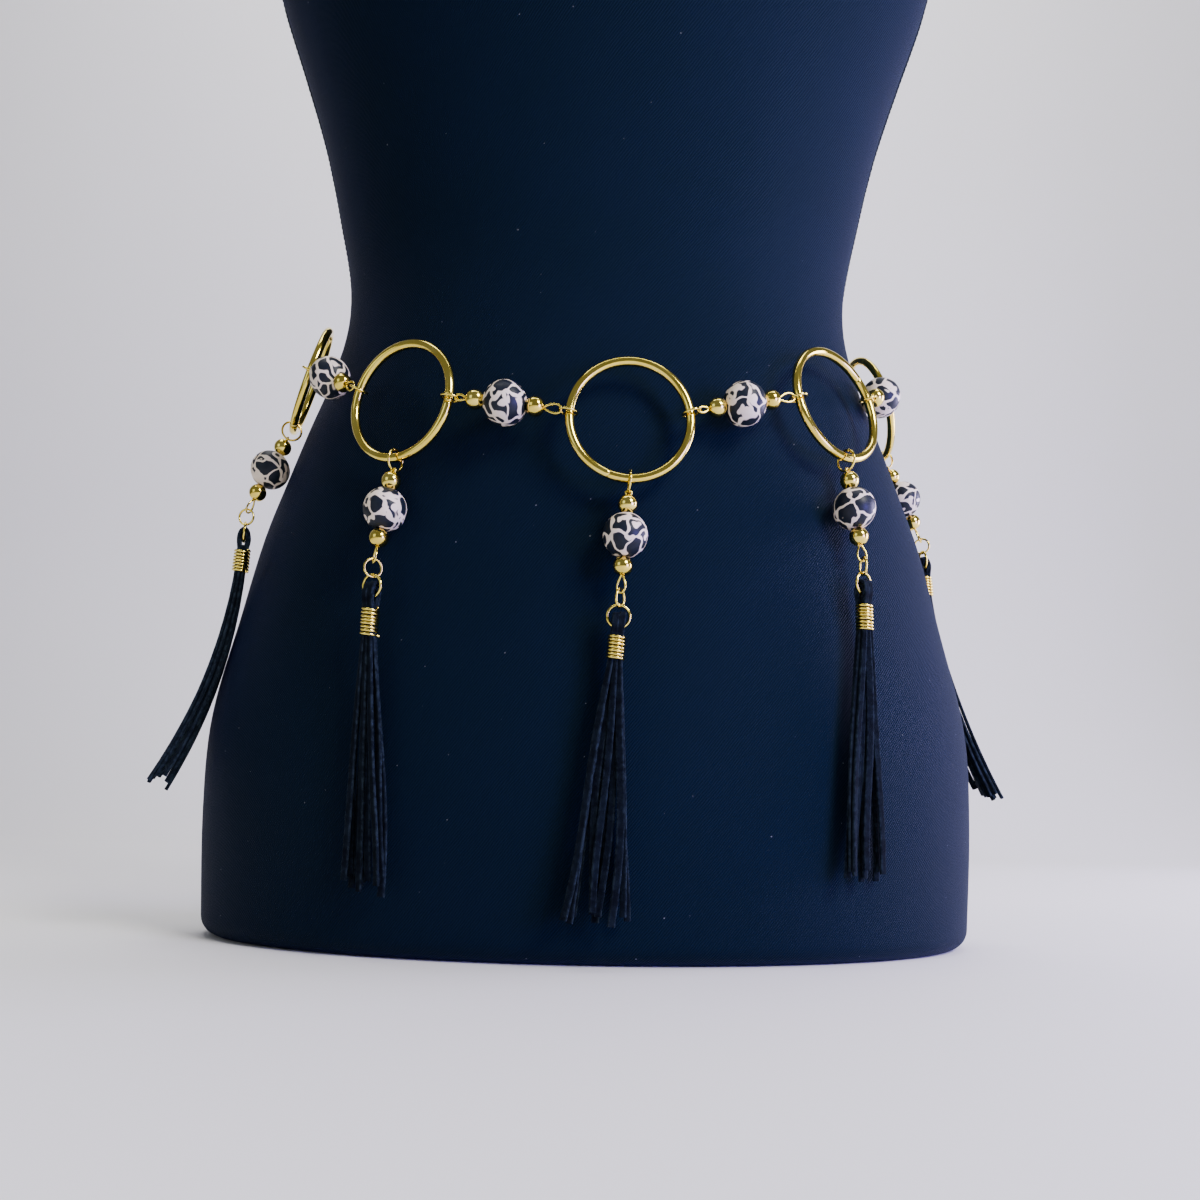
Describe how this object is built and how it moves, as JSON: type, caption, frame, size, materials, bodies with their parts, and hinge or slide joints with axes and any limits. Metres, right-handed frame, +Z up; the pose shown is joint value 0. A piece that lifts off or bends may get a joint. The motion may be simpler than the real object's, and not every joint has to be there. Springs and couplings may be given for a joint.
{
  "type": "beaded belt on a limbless padded dress form",
  "caption": "Chain belt of large gold rings and leopard-print wooden beads with hanging suede tassels, closed by a lobster clasp, worn on a black limbless padded dress form with a flat base.",
  "frame": {"origin": "middle of the dress form's flat base, on the surface that it stands on", "axes": "+Z up along the form; -Y is the front that the picture shows; +X is the picture's right"},
  "size_m": [0.4052, 0.2483, 0.79],
  "materials": {
    "gold": "polished",
    "printed_wood": "satin print of dark leopard spots on cream",
    "black_suede": "matte suede",
    "black_twill": "fine black twill with a slight blue sheen"
  },
  "bodies": {
    "root": {"form": "black_twill", "ring_1": "gold", "ring_2": "gold", "ring_3": "gold", "ring_4": "gold", "ring_5": "gold", "ring_6": "gold", "ring_7": "gold", "ring_8": "gold", "link_pin_1": "gold", "link_pin_2": "gold", "link_pin_3": "gold", "link_pin_4": "gold", "link_pin_5": "gold", "link_pin_6": "gold", "link_pin_7": "gold", "link_pin_8": "gold", "link_bead_1": "printed_wood", "link_bead_2": "printed_wood", "link_bead_3": "printed_wood", "link_bead_4": "printed_wood", "link_bead_5": "printed_wood", "link_bead_6": "printed_wood", "link_bead_7": "printed_wood", "link_bead_8": "printed_wood", "clasp": "gold"},
    "drop_3": {"drop_pin_3": "gold", "drop_bead_3": "printed_wood", "drop_links_3": "gold", "tassel_3": "black_suede", "wrap_3": "gold"},
    "drop_4": {"drop_pin_4": "gold", "drop_bead_4": "printed_wood", "drop_links_4": "gold", "tassel_4": "black_suede", "wrap_4": "gold"},
    "drop_5": {"drop_pin_5": "gold", "drop_bead_5": "printed_wood", "drop_links_5": "gold", "tassel_5": "black_suede", "wrap_5": "gold"},
    "drop_6": {"drop_pin_6": "gold", "drop_bead_6": "printed_wood", "drop_links_6": "gold", "tassel_6": "black_suede", "wrap_6": "gold"},
    "drop_7": {"drop_pin_7": "gold", "drop_bead_7": "printed_wood", "drop_links_7": "gold", "tassel_7": "black_suede", "wrap_7": "gold"}
  },
  "joints": [
    {"name": "drop_3_swing", "type": "hinge", "parent": "root", "child": "drop_3", "pos_m": [-0.143, -0.02195, 0.24149], "axis": [-0.2748, 0.9615, 0], "range_deg": [0, 35]},
    {"name": "drop_4_swing", "type": "hinge", "parent": "root", "child": "drop_4", "pos_m": [-0.08116, -0.09248, 0.20814], "axis": [-0.8777, 0.4793, 0], "range_deg": [0, 35]},
    {"name": "drop_5_swing", "type": "hinge", "parent": "root", "child": "drop_5", "pos_m": [0.01537, -0.11027, 0.19644], "axis": [-0.9972, -0.0751, 0], "range_deg": [0, 35]},
    {"name": "drop_6_swing", "type": "hinge", "parent": "root", "child": "drop_6", "pos_m": [0.10785, -0.07885, 0.21614], "axis": [-0.7831, -0.6219, 0], "range_deg": [0, 35]},
    {"name": "drop_7_swing", "type": "hinge", "parent": "root", "child": "drop_7", "pos_m": [0.14526, 0.01032, 0.24301], "axis": [0.1131, -0.9936, 0], "range_deg": [0, 35]}
  ]
}
